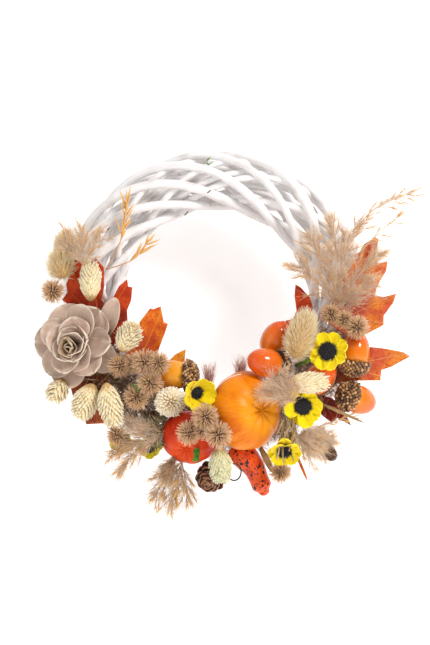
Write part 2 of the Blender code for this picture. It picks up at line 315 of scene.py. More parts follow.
def speck_group():
    """Round dots of mixed sizes."""
    takes = (("Scale", "Float", 300.0), ("Size", "Float", 0.3))
    tree, inside, out = new_group("specks", takes, (("Mask", "Float"),))
    where = node(tree, "TexCoord").outputs["Object"]
    cells = node(tree, "TexVoronoi", {"Vector": where, "Scale": inside["Scale"]})
    chance = node(tree, "SeparateColor", {0: cells.outputs["Color"]}).outputs[0]
    reach = sums(tree, "MULTIPLY", chance, inside["Size"])
    outside = sums(tree, "SUBTRACT", cells.outputs["Distance"], reach)
    tree.links.new(stepped(tree, outside, 0.05, -0.03), out["Mask"])
    return tree


def rim_group():
    """The edge of a petal or scale, from its own lengthways and crossways places."""
    takes = (("Width", "Float", 0.12),)
    tree, inside, out = new_group("rim", takes, (("Mask", "Float"), ("Middle", "Float")))
    along, across = uv_parts(tree)
    side = sums(tree, "ABSOLUTE", sums(tree, "SUBTRACT", sums(tree, "MULTIPLY", across, 2.0), 1.0))
    far = sums(tree, "MAXIMUM", side, along)
    start = sums(tree, "SUBTRACT", 1.0, inside["Width"])
    tree.links.new(stepped(tree, far, start, 1.0), out["Mask"])
    tree.links.new(stepped(tree, side, 0.12, 0.0), out["Middle"])
    return tree


GROUPS = {}
MATERIALS = {}


def make_groups():
    for build in (mottle_group, length_group, grain_group, speck_group, rim_group):
        tree = build()
        GROUPS[tree.name] = tree


def use(tree, group, **takes):
    made = tree.nodes.new("ShaderNodeGroup")
    made.node_tree = GROUPS[group]
    feed(tree, made, takes)
    return made.outputs


def new_material(name, roughness, **sockets):
    material = bpy.data.materials.new(name)
    material.use_nodes = True
    shader = material.node_tree.nodes["Principled BSDF"]
    shader.inputs["Roughness"].default_value = roughness
    for label, value in sockets.items():
        shader.inputs[label.replace("_", " ")].default_value = value
    MATERIALS[name] = material
    return material.node_tree, shader


def surface(tree, shader, colour, height=None, depth=0.0005, strength=1.0, roughness=None):
    tree.links.new(colour, shader.inputs["Base Color"])
    if roughness is not None:
        tree.links.new(roughness, shader.inputs["Roughness"])
    if height is not None:
        takes = {"Height": height, "Distance": depth, "Strength": strength}
        tree.links.new(node(tree, "Bump", takes).outputs[0], shader.inputs["Normal"])


def willow_finish():
    tree, shader = new_material("white_willow_paint", 0.5)
    paint = use(tree, "mottle", Base=(247, 245, 245), Patch=(226, 220, 217), Scale=45.0,
                Start=0.5, End=0.75)
    grain = use(tree, "long_grain", Along=26.0, Across=9.0)
    worn = tinged(tree, grain["Mask"], 0.28, paint["Colour"], (205, 190, 178))
    knots = use(tree, "specks", Scale=60.0, Size=0.1)
    colour = tinged(tree, knots["Mask"], 0.35, worn, (176, 152, 128))
    surface(tree, shader, colour, grain["Height"], 0.0006, 0.6)


def wire_finish():
    tree, shader = new_material("dark_wire_steel", 0.4, Metallic=0.9)
    paint = use(tree, "mottle", Base=(58, 54, 52), Patch=(92, 74, 58), Scale=400.0)
    surface(tree, shader, paint["Colour"], paint["Mask"], 0.0001, 0.4)


def pumpkin_finish(name, main, deep_and_shade_tint, pale_and_highlight_tint, ribs):
    tree, shader = new_material(name, 0.42, Coat_Weight=0.06, Coat_Roughness=0.35, Specular_IOR_Level=0.2)
    skin = use(tree, "mottle", Base=main, Patch=deep_and_shade_tint, Scale=28.0, Start=0.4, End=0.8)
    along, across = uv_parts(tree)
    # Painted shade: the rib valleys are darkened towards the deep tint, less near the pole; the deep tint
    # also gives the skin's own patches and dots.
    turn = sums(tree, "MULTIPLY", across, math.tau * ribs)
    crease = stepped(tree, sums(tree, "COSINE", turn), -0.35, -1.0)
    away = stepped(tree, along, 0.96, 0.72)
    crease_shaded = tinged(tree, sums(tree, "MULTIPLY", crease, away), 0.34, skin["Colour"], deep_and_shade_tint)
    # Painted highlight: the pole end is lightened towards the pale tint; the pale tint also gives the skin's
    # own streaks.
    top = stepped(tree, along, 0.78, 0.99)
    colour = tinged(tree, top, 0.55, crease_shaded, pale_and_highlight_tint)
    grain = use(tree, "long_grain", Along=7.0, Across=90.0)
    streaked = tinged(tree, grain["Mask"], 0.22, colour, pale_and_highlight_tint)
    dots = use(tree, "specks", Scale=420.0, Size=0.16)
    final = tinged(tree, dots["Mask"], 0.3, streaked, deep_and_shade_tint)
    rough = stepped(tree, skin["Mask"], 0.0, 1.0, 0.36, 0.5)
    surface(tree, shader, final, grain["Height"], 0.0004, 0.5, rough)


def gourd_finish():
    tree, shader = new_material("speckled_gourd_skin", 0.35, Coat_Weight=0.12, Specular_IOR_Level=0.25)
    skin = use(tree, "mottle", Base=(232, 82, 12), Patch=(206, 52, 6), Scale=60.0)
    large = use(tree, "specks", Scale=190.0, Size=0.42)
    small = use(tree, "specks", Scale=420.0, Size=0.4)
    spots = sums(tree, "MAXIMUM", large["Mask"], small["Mask"])
    colour = mixed(tree, spots, skin["Colour"], (34, 32, 40))
    surface(tree, shader, colour, spots, 0.0003, 0.6)


def nut_finish(name, root, middle_tint, tip, other):
    tree, shader = new_material(name, 0.2, Coat_Weight=0.35, Coat_Roughness=0.08, Specular_IOR_Level=0.3)
    body = use(tree, "root_to_tip", Root=root, Middle=middle_tint, Tip=tip, Other=other, Scale=30.0,
               Share=0.4)
    dust = use(tree, "mottle", Base=(0, 0, 0), Patch=WHITE, Scale=170.0, Start=0.5, End=0.8)
    colour = tinged(tree, dust["Mask"], 0.12, body["Colour"], (250, 190, 130))
    rough = stepped(tree, dust["Mask"], 0.0, 1.0, 0.13, 0.28)
    surface(tree, shader, colour, dust["Mask"], 0.0002, 0.35, rough)


def strand_finish(name, root, middle_tint, tip, other, scale=260.0, share=0.5, roughness=0.75):
    tree, shader = new_material(name, roughness, Sheen_Weight=0.25, Specular_IOR_Level=0.25)
    body = use(tree, "root_to_tip", Root=root, Middle=middle_tint, Tip=tip, Other=other, Scale=scale,
               Share=share)
    grain = use(tree, "long_grain", Along=9.0, Across=8.0)
    surface(tree, shader, body["Colour"], grain["Height"], 0.0002, 0.5)


def petal_finish(name, root, body_tint, rim_tint, vein_tint, roughness=0.8, rim_width=0.12, veins=0.35,
                 across=30.0):
    tree, shader = new_material(name, roughness, Sheen_Weight=0.2, Specular_IOR_Level=0.2)
    grain = use(tree, "long_grain", Along=3.5, Across=across)
    blotch = use(tree, "mottle", Base=body_tint, Patch=vein_tint, Scale=90.0, Start=0.45, End=0.85)
    rooted = mixed(tree, stepped(tree, uv_parts(tree)[0], 0.0, 0.5), root, blotch["Colour"])
    veined = tinged(tree, grain["Mask"], veins, rooted, vein_tint)
    edge = use(tree, "rim", Width=rim_width)
    colour = tinged(tree, edge["Mask"], 0.8, veined, rim_tint)
    surface(tree, shader, colour, grain["Height"], 0.0004, 0.7)


def leaf_finish(name, main, second, vein_tint, base_tint, dots_tint, relief=0.8):
    """Pressed and printed fabric: raised veins, mottled dye, and a linen weave."""
    tree, shader = new_material(name, 0.5, Coat_Weight=0.05, Coat_Roughness=0.4, Specular_IOR_Level=0.25)
    along, across = uv_parts(tree)
    side = sums(tree, "ABSOLUTE", sums(tree, "SUBTRACT", across, 0.5))
    midrib = stepped(tree, side, 0.022, 0.004)
    slant = sums(tree, "SUBTRACT", along, sums(tree, "MULTIPLY", side, 0.9))
    wave = sums(tree, "PINGPONG", sums(tree, "MULTIPLY", slant, 9.0), 0.5)
    ribs = stepped(tree, wave, 0.07, 0.0)
    veins = sums(tree, "MAXIMUM", midrib, sums(tree, "MULTIPLY", ribs, 0.6))
    dye = use(tree, "mottle", Base=main, Patch=second, Scale=70.0, Start=0.38, End=0.62)
    blots = use(tree, "mottle", Base=main, Patch=dots_tint, Scale=420.0, Start=0.5, End=0.62)
    dyed = tinged(tree, blots["Mask"], 0.55, dye["Colour"], dots_tint)
    based = mixed(tree, stepped(tree, along, 0.62, 0.1), dyed, base_tint)
    colour = tinged(tree, veins, 0.55, based, vein_tint)
    weave = use(tree, "mottle", Base=main, Patch=second, Scale=1500.0)
    height = sums(tree, "ADD", veins, sums(tree, "MULTIPLY", weave["Mask"], 0.25))
    surface(tree, shader, colour, height, 0.0007, relief)


def seed_finish():
    tree, shader = new_material("seed_grain", 0.42, Coat_Weight=0.15)
    tone = uv_parts(tree)[1]
    darker = mixed(tree, stepped(tree, tone, 0.1, 0.5), (84, 54, 32), (150, 104, 64))
    lighter = mixed(tree, stepped(tree, tone, 0.5, 0.9), darker, (214, 168, 112))
    grain = use(tree, "mottle", Base=(0, 0, 0), Patch=WHITE, Scale=900.0, Start=0.4, End=0.7)
    colour = tinged(tree, grain["Mask"], 0.12, lighter, (96, 62, 40))
    surface(tree, shader, colour, grain["Mask"], 0.0001, 0.4)


def plain_finish(name, main, patch, scale=300.0, roughness=0.8):
    tree, shader = new_material(name, roughness)
    cloud = use(tree, "mottle", Base=main, Patch=patch, Scale=scale)
    surface(tree, shader, cloud["Colour"], cloud["Mask"], 0.0004, 0.7)


def make_materials():
    make_groups()
    willow_finish()
    wire_finish()
    pumpkin_finish("orange_pumpkin_skin", (238, 134, 4), (208, 84, 0), (248, 172, 26), 9)
    pumpkin_finish("red_pumpkin_skin", (214, 50, 6), (158, 18, 2), (230, 88, 20), 8)
    gourd_finish()
    nut_finish("acorn_lacquer", (244, 160, 26), (234, 118, 18), (220, 84, 20), (212, 76, 14))
    nut_finish("golden_acorn_lacquer", (246, 176, 40), (244, 160, 30), (232, 120, 20),
               (230, 120, 20))
    seed_finish()
    plain_finish("seed_glue", (58, 38, 28), (104, 62, 36), 240.0, 0.6)
    petal_finish("rose_shaving", (120, 92, 74), (212, 186, 168), (244, 228, 204),
                 (184, 154, 136))
    petal_finish("rose_heart_shaving", (84, 60, 42), (180, 148, 118), (226, 202, 168),
                 (142, 112, 86))
    petal_finish("yellow_felt", (206, 158, 2), (252, 224, 4), (255, 240, 50), (230, 190, 2),
                 0.85, 0.12, 0.45, 14.0)
    petal_finish("faded_yellow_felt", (160, 136, 20), (232, 216, 36), (244, 234, 90),
                 (206, 184, 24), 0.85, 0.1, 0.3, 14.0)
    petal_finish("papery_bract", (140, 108, 68), (196, 164, 116), (230, 206, 160),
                 (130, 100, 66), 0.7, 0.1, 0.5, 18.0)
    petal_finish("cream_husk", (220, 168, 92), (251, 234, 186), (255, 252, 236),
                 (234, 198, 130), 0.7, 0.22, 0.3, 6.0)
    petal_finish("green_husk", (150, 142, 72), (228, 222, 172), (251, 249, 228),
                 (190, 182, 112), 0.7, 0.22, 0.3, 6.0)
    petal_finish("cone_scale", (28, 16, 10), (112, 68, 46), (168, 118, 84), (62, 36, 24),
                 0.65, 0.2, 0.5, 9.0)
    strand_finish("black_felt_tuft", (14, 12, 16), (28, 25, 30), (52, 48, 56), (20, 18, 24))
    strand_finish("bunny_tail_hair", (224, 184, 118), (246, 224, 174), (254, 244, 216),
                  (236, 204, 146), 260.0, 0.4)
    strand_finish("straw_pompon", (246, 206, 140), (255, 245, 218), (255, 252, 240),
                  (250, 224, 170), 160.0, 0.25)
    strand_finish("burr_spine", (98, 66, 38), (224, 182, 124), (242, 210, 176),
                  (216, 160, 142), 120.0, 0.3)
    strand_finish("plume_hair", (194, 156, 118), (236, 202, 164), (250, 228, 198),
                  (208, 184, 168), 110.0, 0.45)
    strand_finish("tan_plume_hair", (150, 110, 70), (216, 176, 130), (238, 210, 170),
                  (190, 154, 120), 110.0, 0.45)
    strand_finish("golden_spikelet", (190, 132, 62), (234, 178, 96), (248, 208, 134),
                  (210, 148, 78), 120.0, 0.4)
    strand_finish("brown_tail_hair", (222, 188, 150), (196, 156, 120), (112, 70, 48),
                  (150, 106, 78), 120.0, 0.35)
    strand_finish("pink_tuft_hair", (170, 114, 108), (212, 166, 154), (232, 204, 188),
                  (190, 136, 130), 160.0, 0.4)
    strand_finish("glue_thread", (236, 226, 214), (244, 236, 226), (250, 244, 238),
                  (220, 204, 190), 90.0, 0.4, 0.3)
    strand_finish("green_sprig", (52, 88, 24), (96, 146, 40), (150, 190, 70),
                  (70, 110, 30), 90.0, 0.4, 0.6)
    strand_finish("grey_floret", (92, 84, 52), (158, 146, 104), (206, 192, 148),
                  (120, 112, 66), 120.0, 0.5)
    strand_finish("filler_moss", (84, 58, 36), (174, 136, 94), (214, 180, 138),
                  (130, 98, 74), 90.0, 0.5)
    plain_finish("burr_heart", (96, 64, 38), (58, 38, 24), 420.0)
    plain_finish("felt_heart", (22, 20, 26), (40, 36, 42), 500.0)
    plain_finish("pumpkin_stub", (96, 160, 48), (48, 108, 28), 160.0)
    plain_finish("straw_heart", (214, 176, 116), (186, 142, 84), 300.0)
    leaf_finish("leaf_red_orange", (214, 74, 14), (186, 48, 10), (226, 104, 40),
                (96, 28, 12), (160, 36, 12))
    leaf_finish("leaf_bright_orange", (242, 128, 20), (226, 92, 18), (246, 156, 50),
                (200, 76, 40), (190, 52, 28))
    leaf_finish("leaf_amber", (244, 166, 44), (236, 128, 30), (248, 190, 80),
                (240, 150, 40), (216, 96, 30))
    leaf_finish("leaf_salmon", (216, 94, 54), (236, 140, 44), (240, 160, 110),
                (196, 84, 72), (190, 62, 28), 1.0)
    leaf_finish("leaf_brown_orange", (186, 92, 44), (150, 62, 30), (214, 130, 76),
                (110, 44, 26), (120, 44, 26))
    leaf_finish("leaf_dark_red", (168, 48, 28), (128, 30, 20), (196, 84, 56),
                (84, 22, 18), (96, 22, 18))


# ---- ways to build ----

def keep(name, mesh, material, nodes=(), flat=False):
    """Adds a finished mesh as a piece of the wreath."""
    if not flat:
        mesh.shade_smooth()
    mesh.materials.clear()
    mesh.materials.append(MATERIALS[material])
    obj = bpy.data.objects.new(name, mesh)
    bpy.context.scene.collection.objects.link(obj)
    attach(obj, "wreath")
    if nodes:
        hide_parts(*nodes)
    return obj


def strands(lines, sides=4):
    """A mesh of tapering strands. Each line is (points in metres, radii in millimetres)."""
    curve = bpy.data.curves.new("strands", "CURVE")
    curve.dimensions = "3D"
    curve.bevel_depth = MM
    curve.bevel_resolution = {4: 0, 6: 1, 8: 2, 12: 4, 16: 6}[sides]
    curve.use_fill_caps = True
    curve.twist_mode = "MINIMUM"
    for points, radii in lines:
        spline = curve.splines.new("POLY")
        spline.points.add(len(points) - 1)
        for knot, point, radius in zip(spline.points, points, radii):
            knot.co = (*point, 1)
            knot.radius = radius
    holder = bpy.data.objects.new("strands", curve)
    mesh = bpy.data.meshes.new_from_object(holder)
    bpy.data.objects.remove(holder)
    bpy.data.curves.remove(curve)
    return mesh


def hair(root, direction, length, radius, droop=None, points=4, taper=0.2):
    """One strand that leaves root along direction and bends towards droop."""
    bend = droop if droop is not None else Vector()
    line = []
    radii = []
    for step in range(points):
        share = step / (points - 1)
        line.append(root + (direction * share + bend * share * share) * length * MM)
        radii.append(radius * (1 - (1 - taper) * share))
    return line, radii


def mark(body, along, across):
    """Writes each corner's lengthways and crossways place, from dictionaries keyed by vertex."""
    layer = body.loops.layers.uv.verify()
    for face in body.faces:
        turns = [across[vertex] for vertex in face.verts]
        wraps = max(turns) - min(turns) > 0.5
        for corner in face.loops:
            turn = across[corner.vert]
            if wraps and turn < 0.5:
                turn += 1
            corner[layer].uv = (along[corner.vert], turn)


def turned(shape, around=32, rows=24):
    """A body from a sphere: shape(height, ring, angle) gives each vertex's radius and height."""
    body = bmesh.new()
    bmesh.ops.create_uvsphere(body, u_segments=around, v_segments=rows, radius=1)
    along = {}
    across = {}
    for vertex in body.verts:
        angle = math.atan2(vertex.co.y, vertex.co.x)
        ring = min(1.0, math.hypot(vertex.co.x, vertex.co.y))
        along[vertex] = (vertex.co.z + 1) / 2
        across[vertex] = (angle / math.tau) % 1.0
        radius, height = shape(vertex.co.z, ring, angle)
        vertex.co = Vector((radius * math.cos(angle), radius * math.sin(angle), height))
    mark(body, along, across)
    bmesh.ops.recalc_face_normals(body, faces=body.faces)
    return body


def petal(length, half_width, cup=0.3, curl=0.0, widest=0.6, root=0.35, notch=0.0, thickness=0.6, rows=9,
          columns=8, ripple=0.0):
    """A petal rooted at the origin that reaches along +Y, hollow on its +Z side."""
    body = bmesh.new()
    bmesh.ops.create_grid(body, x_segments=columns, y_segments=rows, size=1)
    along = {}
    across = {}
    for vertex in body.verts:
        share = 1 - (1 - (vertex.co.y + 1) / 2) ** 1.7
        side = vertex.co.x
        if share > widest:
            width = math.sqrt(max(0.0, 1 - ((share - widest) / (1 - widest)) ** 2))
            width = max(width, 0.16)
        else:
            rise = share / widest
            width = root + (1 - root) * math.sin(rise * math.pi / 2)
        reach = 1 - notch * max(0.0, 1 - abs(side) * 2.2) * share ** 3
        flutter = ripple * math.sin(side * 7 + share * 3) * share
        along[vertex] = share
        across[vertex] = (side + 1) / 2
        vertex.co = Vector((
            half_width * width * side,
            length * share * reach,
            half_width * (cup * side * side * width + flutter) + length * curl * share * share,
        ))
    mark(body, along, across)
    bmesh.ops.solidify(body, geom=body.faces[:], thickness=thickness)
    bmesh.ops.recalc_face_normals(body, faces=body.faces)
    return body


def store(body):
    mesh = bpy.data.meshes.new("shape")
    body.to_mesh(mesh)
    body.free()
    return mesh


def stood(body, matrix):
    """A mesh of this body, moved to its place."""
    mesh = store(body)
    mesh.transform(matrix)
    return mesh


def gather(parts):
    """One mesh from (mesh, matrix) pairs; the same mesh may be used many times."""
    whole = bmesh.new()
    for mesh, matrix in parts:
        copy = mesh.copy()
        copy.transform(matrix)
        whole.from_mesh(copy)
        bpy.data.meshes.remove(copy)
    return store(whole)


def egg(radius, half_height, around, rows, narrow=0.0, rise=0.0):
    """A rounded core, narrower towards its top by the share narrow, and raised by rise."""
    def outline(height, ring, angle):
        return radius * ring * (1 - narrow * height), half_height * height + rise

    return turned(outline, around, rows)


def shaken(rng, *reaches):
    """A random vector. Each part is drawn up to its reach both ways, or between a pair; 0 stays 0."""
    parts = []
    for reach in reaches:
        if reach == 0:
            parts.append(0)
        else:
            parts.append(rng.uniform(*reach) if isinstance(reach, tuple) else rng.uniform(-reach, reach))
    return Vector(parts)


def hung(tilt, azimuth, out=0.0, rise=0.0):
    """Stands a petal round a flower's axis: tilt lifts it from flat, azimuth turns it."""
    turn = Matrix.Rotation(azimuth, 4, "Z")
    return turn @ Matrix.Translation((0, out, rise)) @ Matrix.Rotation(tilt, 4, "X")


# ---- the willow ring ----

def wound(angle, wrap_radius, phase):
    out = RING_RADIUS + wrap_radius * math.sin(phase)
    return Vector((out * math.sin(angle), -wrap_radius * math.cos(phase), out * math.cos(angle)))


def outer_route(angle, index):
    wrap_radius = OUTER_WRAP_RADIUS + ROD_SWAY * math.sin(3 * angle + index)
    return wound(angle, wrap_radius, OUTER_PHASE + OUTER_TURNS * angle)


def inner_route(angle, index):
    wrap_radius = INNER_WRAP_RADIUS + ROD_SWAY * math.sin(3 * angle + index)
    return wound(angle, wrap_radius, INNER_TURNS * angle)


def fill_route(angle, index):
    wrap_radius = FILL_WRAP_RADIUS + 0.8 * math.sin(1.7 * angle + 2 * index)
    return wound(angle, wrap_radius, 0.7 + FILL_TURNS * angle + 0.1 * math.sin(2.3 * angle + index))


def rods(name, radii, joins, route, replaced):
    count = len(radii)
    for index, radius in enumerate(radii):
        start = joins[index] + 360 * index
        end = joins[(index + 1) % count] + 360 * (index + 1) - 1.2
        line = []
        sizes = []
        for step in range(ROD_POINTS + 1):
            angle = math.radians(start + (end - start) * step / ROD_POINTS)
            line.append(RING_CENTRE + route(angle, index) * MM)
            growth = 0.03 * math.sin(11 * angle + 3 * index) + 0.02 * math.sin(23 * angle + index)
            sizes.append(radius * (1 + ROD_SWELL * math.sin(2 * angle + 2 * index) + growth))
        mesh = strands([(line, sizes)], sides=16)
        nodes = (f"{replaced}_{index + 1}",) if replaced else ()
        keep(f"{name}_{index + 1}", mesh, "white_willow_paint", nodes)


def willow_ring():
    rods("outer_willow", OUTER_ROD_RADII, OUTER_JOIN_ANGLES, outer_route, "willow_rod")
    rods("crossing_willow", INNER_ROD_RADII, INNER_JOIN_ANGLES, inner_route, "inner_rod")
    rods("thin_willow", FILL_ROD_RADII, FILL_JOIN_ANGLES, fill_route, None)
    core = []
    for index in range(CORE_RODS):
        line = []
        for step in range(CORE_POINTS + 1):
            angle = math.tau * step / CORE_POINTS
            phase = math.tau * index / CORE_RODS + CORE_TURNS * angle
            line.append(RING_CENTRE + wound(angle, CORE_WRAP_RADIUS, phase) * MM)
        core.append((line, [CORE_ROD_RADIUS] * len(line)))
    keep("core_willow", strands(core, sides=12), "white_willow_paint", ("core_hoop",))
    for name in ("hanger_loop", "hanger_tie"):
        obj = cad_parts[name]
        for slot in obj.material_slots:
            slot.material = MATERIALS["dark_wire_steel"]


# ---- pumpkins, gourd and cone ----

def ribbed(radius, half_height, ribs, depth, dimple):
    def shape(height, ring, angle):
        crease = (1 + math.cos(ribs * angle)) / 2
        swell = 1 - depth * (1 - crease ** 0.45) * min(1, ring * 1.6)
        sunk = 1 - dimple * math.exp(-(ring / 0.34) ** 2)
        droop = 1 - 0.12 * (1 - crease ** 0.45) * (1 - ring)
        return radius * ring * swell, half_height * height * sunk * droop
    return shape


def pumpkins():
    centre = middle("pumpkin_orange")
    axis = way(18, 20, 1)
    skin = stood(turned(ribbed(37.4, 27.5, 9, 0.03, 0.22), 160, 64), seat(centre, axis, math.radians(12)))
    keep("orange_pumpkin", skin, "orange_pumpkin_skin", ("pumpkin_orange",))
    centre_red = middle("pumpkin_red")
    axis_red = way(-2, 10, -9)
    skin = stood(turned(ribbed(26.8, 23.5, 8, 0.05, 0.3), 128, 48), seat(centre_red, axis_red, 0.2))
    keep("red_pumpkin", skin, "red_pumpkin_skin", ("pumpkin_red",))
    line = [place(*spot) for spot in ((16, 13, -138), (23, 13, -143), (30, 12, -149), (36, 11, -156),
                                      (39.5, 10, -163), (42, 10, -169), (44.5, 10, -175), (46.5, 10, -180))]
    smooth = softened(line, [8, 12.5, 12.5, 11, 9.8, 9.3, 9.5, 5.5], 6)
    body = strands([smooth], sides=16)
    keep("speckled_gourd", body, "speckled_gourd_skin", ("gourd_speckled",))
    stub = [place(-17, 46, -138), place(-17, 50, -143), place(-18, 51, -148)]
    keep("pumpkin_stem", strands([(stub, [3.4, 2.6, 2.9])], sides=8), "pumpkin_stub", ())


def softened(points, radii, cuts):
    """The same line with cuts more points in each span, on one smooth curve, and a rounded far end."""
    line = []
    sizes = []
    for index in range(len(points) - 1):
        before = points[max(index - 1, 0)]
        first, second = points[index], points[index + 1]
        after = points[min(index + 2, len(points) - 1)]
        for cut in range(cuts):
            share = cut / cuts
            pull_in = (second - before) / 2
            pull_out = (after - first) / 2
            square, cube = share * share, share ** 3
            line.append(first * (2 * cube - 3 * square + 1) + pull_in * (cube - 2 * square + share)
                        + second * (3 * square - 2 * cube) + pull_out * (cube - square))
            sizes.append(radii[index] + (radii[index + 1] - radii[index]) * (3 * square - 2 * cube))
    line.append(points[-1])
    sizes.append(radii[-1])
    forward = (line[-1] - line[-2]).normalized()
    last = sizes[-1]
    for turn in (0.35, 0.7, 1.05, 1.35, 1.54):
        line.append(points[-1] + forward * last * math.sin(turn) * 0.8 * MM)
        sizes.append(last * math.cos(turn))
    return line, sizes


def cone():
    rng = random.Random(5)
    centre = middle("pine_cone")
    axis = way(-3, 9, -5)
    base = seat(centre, axis)
    keep("cone_heart", stood(egg(9.5, 12, 20, 12, 0.1), base), "seed_glue", ())
    scale = store(petal(9.4, 4.4, 0.4, 0.2, 0.72, 0.45, 0.0, 1.1, 5, 4))
    parts = []
    count = 44
    for index in range(count):
        height = -0.95 + 1.85 * (index + 0.5) / count
        ring = math.sqrt(max(0.0, 1 - height * height))
        lean = math.radians(10 + 104 * ((height + 1) / 2) ** 1.6)
        size = 0.65 + 0.5 * ring + rng.uniform(-0.05, 0.05)
        stand = hung(lean, GOLDEN_ANGLE * index, 7.0 * ring, 11 * height - 2)
        parts.append((scale, base @ stand @ Matrix.Scale(size, 4)))
    keep("cone_scales", gather(parts), "cone_scale", ("pine_cone",))


# ---- acorns ----

def acorn(index, nut, tip, capped=True, lacquer="acorn_lacquer"):
    centre = place(*nut)
    axis = way(*tip)
    half = NUT_LENGTH / (1 + NUT_FOOT)

    def nut_shape(height, ring, angle):
        point = 1.2 * math.exp(-(ring / 0.12) ** 2) if height > 0 else 0
        return NUT_RADIUS * ring * (1 - 0.06 * height), half * max(height, -NUT_FOOT) + point

    body = stood(turned(nut_shape, 48, 40), seat(centre, axis))
    keep(f"acorn_{index}", body, lacquer, (f"acorn_nut_{index}",))
    if not capped:
        return
    face = centre - axis * (half * NUT_FOOT + 0.3) * MM

    def cap_shape(height, ring, angle):
        return CAP_RADIUS * ring, CAP_HEIGHT * max(height, 0.0)

    stand = seat(face, -axis)
    keep(f"acorn_cup_{index}", stood(turned(cap_shape, 28, 16), stand), "seed_glue", ())
    rng = random.Random(100 + index)
    seeds = []
    for tone in (0.1, 0.35, 0.5, 0.65, 0.9):
        ball = bmesh.new()
        bmesh.ops.create_uvsphere(ball, u_segments=7, v_segments=5, radius=SEED_RADIUS)
        mark(ball, {vertex: 0.5 for vertex in ball.verts}, {vertex: tone for vertex in ball.verts})
        seeds.append(store(ball))
    parts = []
    for step in range(SEEDS_ROUND):
        direction = sphere_way(step, SEEDS_ROUND * 2)
        if direction.z < 0.02:
            continue
        spread = Vector((direction.x * CAP_RADIUS, direction.y * CAP_RADIUS,
                         direction.z * CAP_HEIGHT)) * 1.045
        jitter = shaken(rng, 0.2, 0.2, (-0.2, 0.25))
        size = rng.uniform(0.85, 1.04)
        matrix = stand @ Matrix.Translation(spread + jitter) @ Matrix.Scale(size, 4)
        parts.append((rng.choice(seeds), matrix))
    keep(f"acorn_seeds_{index}", gather(parts), "seed_grain", (f"acorn_cap_{index}",))


def acorns():
    acorn(1, (57, 19, -36), (10, 6, 22), capped=False)
    acorn(2, (47, 44, -57), (-20, 12, 5))
    acorn(3, (133, 17, -46), (2, -3, 20))
    acorn(4, (137, 12, -93), (20, -16, -8))
    acorn(5, (99, 21, -72), (16, 8, 18), capped=False)
    acorn(6, (-40, 17, -69), (-20, -4, 1), lacquer="golden_acorn_lacquer")


# ---- the wooden rose ----

RIGHT_LEAN = 0.34

def whorl(rng, count, length, half_width, tilt, rise, cup, curl, start, out=1.5, sway=0.2):
    parts = []
    for step in range(count):
        size = rng.uniform(0.88, 1.08)
        shape = petal(length * size, half_width * rng.uniform(0.93, 1.07), cup, curl, 0.62, 0.4, 0.0, 0.7, 10,
                      8, rng.uniform(-0.13, 0.13))
        azimuth = start + math.tau * step / count + rng.uniform(-sway, sway)
        lean = tilt + rng.uniform(-0.14, 0.14) + RIGHT_LEAN * max(0.0, -math.sin(azimuth))
        twist = Matrix.Rotation(rng.uniform(-0.4, 0.4), 4, "Y")
        parts.append((store(shape), hung(lean, azimuth, out, rise + rng.uniform(-0.6, 0.6)) @ twist))
    return parts


def rose():
    rng = random.Random(21)
    outer = middle("rose_outer_petals")
    inner = middle("rose_inner_petals")
    bud = middle("rose_bud")
    facing = way(-2, 20, -1)
    shaving, heart = "rose_shaving", "rose_heart_shaving"
    rows = (
        ("rose_lower_petals", outer, shaving, "rose_outer_petals",
         ((5, 42, 18, 0.04, -4, 0.2, 0.02, 0.5), (5, 37, 15, 0.2, 0, 0.26, 0.05, 1.0))),
        ("rose_upper_petals", inner, shaving, "rose_inner_petals",
         ((5, 29, 14.5, 0.5, -4.5, 0.34, 0.02, 0.1), (5, 23, 12.5, 0.78, -2, 0.42, 0.0, 0.7))),
        ("rose_heart", bud, heart, "rose_bud",
         ((4, 14, 9.0, 1.05, -6, 0.55, -0.02, 0.3, 1.8), (3, 9.5, 5.5, 1.25, -4.5, 0.8, 0.0, 1.0, 1.2))),
    )
    for name, centre, material, node_name, whorls in rows:
        stand = seat(centre, facing)
        petals = [(mesh, stand @ matrix) for row in whorls for mesh, matrix in whorl(rng, *row)]
        keep(name, gather(petals), material, (node_name,))
    stand = seat(outer + Vector((24, 2, 8)) * MM, facing) @ hung(0.1, math.radians(-20))
    pointed = stood(petal(38, 9.5, 0.25, 0.05, 0.45, 0.55, 0.0, 0.7, 10, 8), stand)
    keep("rose_pointed_petal", pointed, "rose_shaving", ())


# ---- flowers ----

def bloom(index, centre, axis, radius, tilt, petals, felt, heart_radius, nodes, cup=0.25):
    rng = random.Random(300 + index)
    stand = seat(centre, axis, rng.uniform(0, 1))
    parts = []
    for step in range(petals):
        shape = petal(radius * rng.uniform(0.9, 1.06), radius * 0.39, cup * rng.uniform(0.6, 1.4), 0.05, 0.68,
                      0.55, 0.08, 0.7, 10, 8, rng.uniform(-0.16, 0.16))
        azimuth = math.tau * step / petals + rng.uniform(-0.06, 0.06)
        rise = 0.5 * (step % 2)
        parts.append((store(shape), stand @ hung(tilt + rng.uniform(-0.14, 0.14), azimuth, 0.5, rise)))
    keep(f"felt_petals_{index}", gather(parts), felt, nodes)
    heart = stood(egg(heart_radius, 3.4, 20, 12, rise=2.2), stand)
    keep(f"felt_heart_{index}", heart, "felt_heart", ())
    lines = []
    for step in range(300):
        direction = sphere_way(step, 600)
        spread = Vector((direction.x * heart_radius, direction.y * heart_radius, 3.2 * direction.z + 2.2))
        push = (direction + shaken(rng, 0.6, 0.6, (0.2, 0.8))).normalized()
        world_way = (stand.to_3x3() @ push).normalized()
        lines.append(hair(stand @ spread, world_way, rng.uniform(1.2, 2.6), 0.3, None, 3, 0.4))
    keep(f"felt_tuft_{index}", strands(lines), "black_felt_tuft", ())


